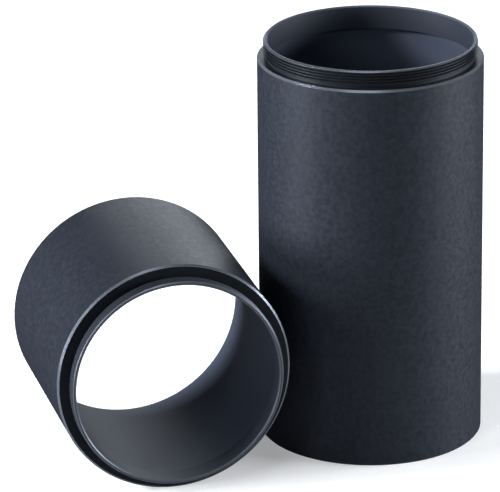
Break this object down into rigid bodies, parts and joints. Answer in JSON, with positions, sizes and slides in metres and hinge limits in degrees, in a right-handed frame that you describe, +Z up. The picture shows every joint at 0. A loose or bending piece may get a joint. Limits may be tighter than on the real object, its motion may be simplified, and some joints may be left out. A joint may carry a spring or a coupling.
{
  "type": "screw-in lens shade set",
  "caption": "Long and short black aluminium tubes with male threaded collars, screwed on the front of a scope to shade its lens.",
  "frame": {"origin": "centre of the long tube's foot, in the plane it stands on", "axes": "+Z up the long tube's axis towards its threaded collar; the short tube lies on the -X side with its collar towards -Y"},
  "size_m": [0.1198, 0.0822, 0.1045],
  "materials": {
    "black_anodised_aluminium": "bead-blasted, black anodised, satin"
  },
  "bodies": {
    "long_tube": {"long_shade_tube": "black_anodised_aluminium"},
    "short_tube": {"short_shade_tube": "black_anodised_aluminium"}
  },
  "joints": [
    {"name": "short_tube_lift", "type": "slide", "parent": "long_tube", "child": "short_tube", "axis": [0, 0, 1], "range_m": [0, 0.12]}
  ]
}
